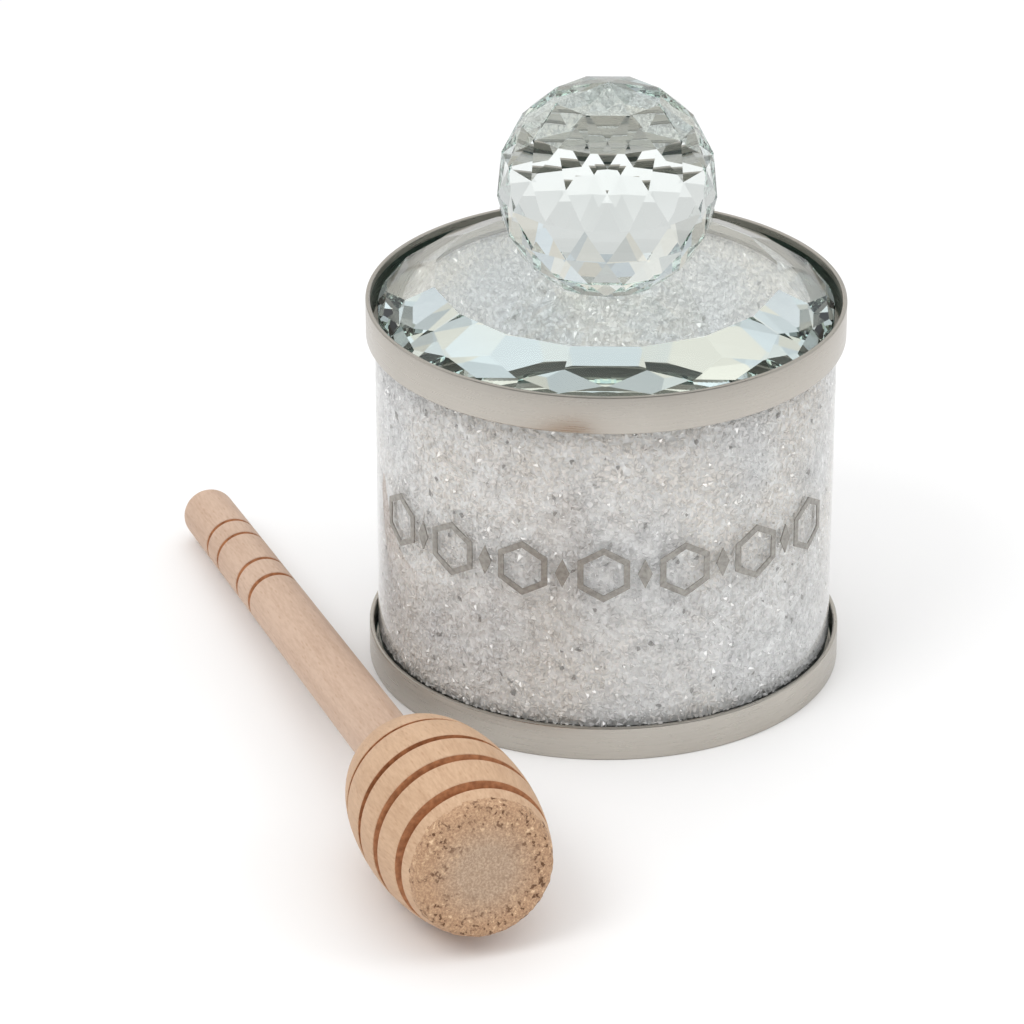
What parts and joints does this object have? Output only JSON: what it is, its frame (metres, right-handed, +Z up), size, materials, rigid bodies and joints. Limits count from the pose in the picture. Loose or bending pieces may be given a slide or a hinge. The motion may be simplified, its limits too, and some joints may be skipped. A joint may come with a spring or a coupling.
{
  "type": "honey dish",
  "caption": "Round crystal honey dish with steel rims, a lift-off cut crystal lid with a ball knob, and a turned wooden dipper beside it.",
  "frame": {"origin": "centre of the dish's underside, on the table", "axes": "+Z up along the dish's axis, -Y towards the side that carries the row of ornaments, +X to that side's right"},
  "size_m": [0.115, 0.1489, 0.1041],
  "materials": {
    "satin_steel": "satin brushed steel",
    "silver_transfer": "matt silver transfer",
    "clear_glass": "clear polished glass",
    "cut_crystal": "clear cut crystal",
    "crushed_crystal": "loose sparkle of crushed clear crystal",
    "black_felt": "black felt",
    "beech": "bare turned beech"
  },
  "bodies": {
    "dish": {"base_tray": "satin_steel", "base_pad": "black_felt", "outer_tube": "clear_glass", "crystal_fill": "crushed_crystal", "inner_cup": "clear_glass", "lid_tray": "satin_steel", "comb_cell_1": "silver_transfer", "comb_cell_2": "silver_transfer", "comb_cell_3": "silver_transfer", "comb_cell_4": "silver_transfer", "comb_cell_5": "silver_transfer", "comb_cell_6": "silver_transfer", "comb_cell_7": "silver_transfer", "comb_drop_1": "silver_transfer", "comb_drop_2": "silver_transfer", "comb_drop_3": "silver_transfer", "comb_drop_4": "silver_transfer", "comb_drop_5": "silver_transfer", "comb_drop_6": "silver_transfer"},
    "lid": {"lid_glass": "cut_crystal", "ball_knob": "cut_crystal"},
    "dipper": {"honey_dipper": "beech"}
  },
  "joints": [
    {"name": "lid_lift", "type": "slide", "parent": "dish", "child": "lid", "axis": [0, 0, 1], "range_m": [0, 0.05]},
    {"name": "dipper_lift", "type": "slide", "parent": "dish", "child": "dipper", "axis": [0, 0, 1], "range_m": [0, 0.12]}
  ]
}
